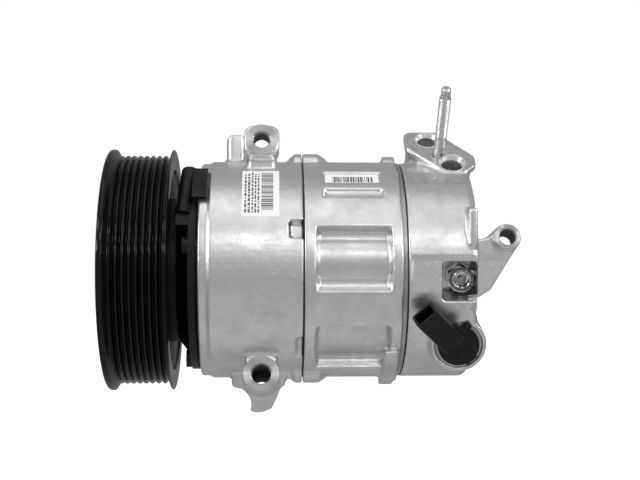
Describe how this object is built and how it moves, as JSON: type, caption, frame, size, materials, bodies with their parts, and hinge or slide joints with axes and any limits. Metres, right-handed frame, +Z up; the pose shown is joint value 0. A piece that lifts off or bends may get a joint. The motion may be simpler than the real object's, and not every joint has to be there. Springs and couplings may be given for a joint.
{
  "type": "automotive air conditioning compressor",
  "caption": "belt-driven swash-plate refrigerant compressor with magnet clutch pulley, cast housing with mounting ears, rear head with hose flange, stud, relief and control valves",
  "frame": {"origin": "on the shaft axis, in the middle of the belt grooves", "axes": "+X along the shaft from the pulley to the rear head, +Z up with the shaft level, -Y toward the side with the mounting ear faces and service valves"},
  "size_m": [0.235, 0.1486, 0.1796],
  "materials": {
    "pulley_paint": "gloss black",
    "coil_paint": "black e-coat",
    "cast_aluminium": "die-cast, satin",
    "black_plastic": "satin",
    "steel": "machined",
    "bearing_steel": "ground",
    "zinc_steel": "zinc-flake plated",
    "copper": "enamelled wire",
    "gasket_black": "matte",
    "label_white": "printed film"
  },
  "bodies": {
    "root": {"coil_housing": "coil_paint", "coil_winding": "copper", "coil_snap_ring": "steel", "coil_backplate": "coil_paint", "coil_connector": "black_plastic", "pulley_bearing_inner_race": "bearing_steel", "pulley_snap_ring": "steel", "shaft_seal": "gasket_black", "seal_snap_ring": "steel", "front_bearing": "bearing_steel", "thrust_bearing": "bearing_steel", "rear_bearing": "bearing_steel", "piston_1": "steel", "piston_2": "steel", "piston_3": "steel", "piston_4": "steel", "piston_5": "steel", "piston_6": "steel", "piston_7": "steel", "piston_shoes": "bearing_steel", "front_housing": "cast_aluminium", "housing_gasket": "gasket_black", "cylinder_block": "cast_aluminium", "suction_reed_plate": "steel", "valve_plate": "steel", "discharge_reed_plate": "steel", "head_gasket": "gasket_black", "rear_head": "cast_aluminium", "through_bolts": "zinc_steel", "port_stud": "zinc_steel", "relief_valve_body": "zinc_steel", "relief_spring_seat": "steel", "control_valve_body": "steel", "control_valve_cap": "black_plastic", "control_snap_ring": "steel", "check_valve_seat": "steel", "part_label": "label_white", "barcode_label": "label_white"},
    "pulley": {"pulley": "pulley_paint", "pulley_bearing_outer_race": "bearing_steel"},
    "ball_set": {"pulley_bearing_balls": "bearing_steel"},
    "shaft": {"drive_shaft": "steel", "clutch_hub": "steel", "hub_bolt": "zinc_steel", "hub_shim": "steel", "lug_plate": "steel", "guide_pins": "steel", "swash_plate": "steel", "destroke_spring": "steel"},
    "armature": {"armature_plate": "steel", "armature_springs": "coil_paint", "armature_rivets": "steel"},
    "relief": {"relief_poppet": "steel", "relief_spring": "steel"},
    "check": {"check_valve_piston": "steel"},
    "plunger": {"control_valve_plunger": "steel", "control_valve_spring": "steel"}
  },
  "joints": [
    {"name": "pulley_spin", "type": "hinge", "parent": "root", "child": "pulley", "pos_m": [0, 0, 0], "axis": [1, 0, 0], "continuous": true},
    {"name": "ball_set_spin", "type": "hinge", "parent": "root", "child": "ball_set", "pos_m": [0, 0, 0], "axis": [1, 0, 0], "continuous": true},
    {"name": "shaft_spin", "type": "hinge", "parent": "root", "child": "shaft", "pos_m": [0, 0, 0], "axis": [1, 0, 0], "continuous": true},
    {"name": "armature_pull", "type": "slide", "parent": "shaft", "child": "armature", "axis": [1, 0, 0], "range_m": [0, 0.0004], "stiffness_N_per_m": 8000, "springref_m": -0.0005},
    {"name": "relief_lift", "type": "slide", "parent": "root", "child": "relief", "axis": [0, -0.9563, -0.2924], "range_m": [0, 0.001], "stiffness_N_per_m": 2000, "springref_m": -0.0005},
    {"name": "check_open", "type": "slide", "parent": "root", "child": "check", "axis": [0, -0.6691, 0.7431], "range_m": [0, 0.0038], "stiffness_N_per_m": 60, "springref_m": -0.002},
    {"name": "plunger_stroke", "type": "slide", "parent": "root", "child": "plunger", "axis": [0, -0.9563, -0.2924], "range_m": [0, 0.001], "stiffness_N_per_m": 2000, "springref_m": -0.0005}
  ],
  "couplings": [
    {"joint": "ball_set_spin", "follows": "pulley_spin", "ratio": 0.5611}
  ]
}
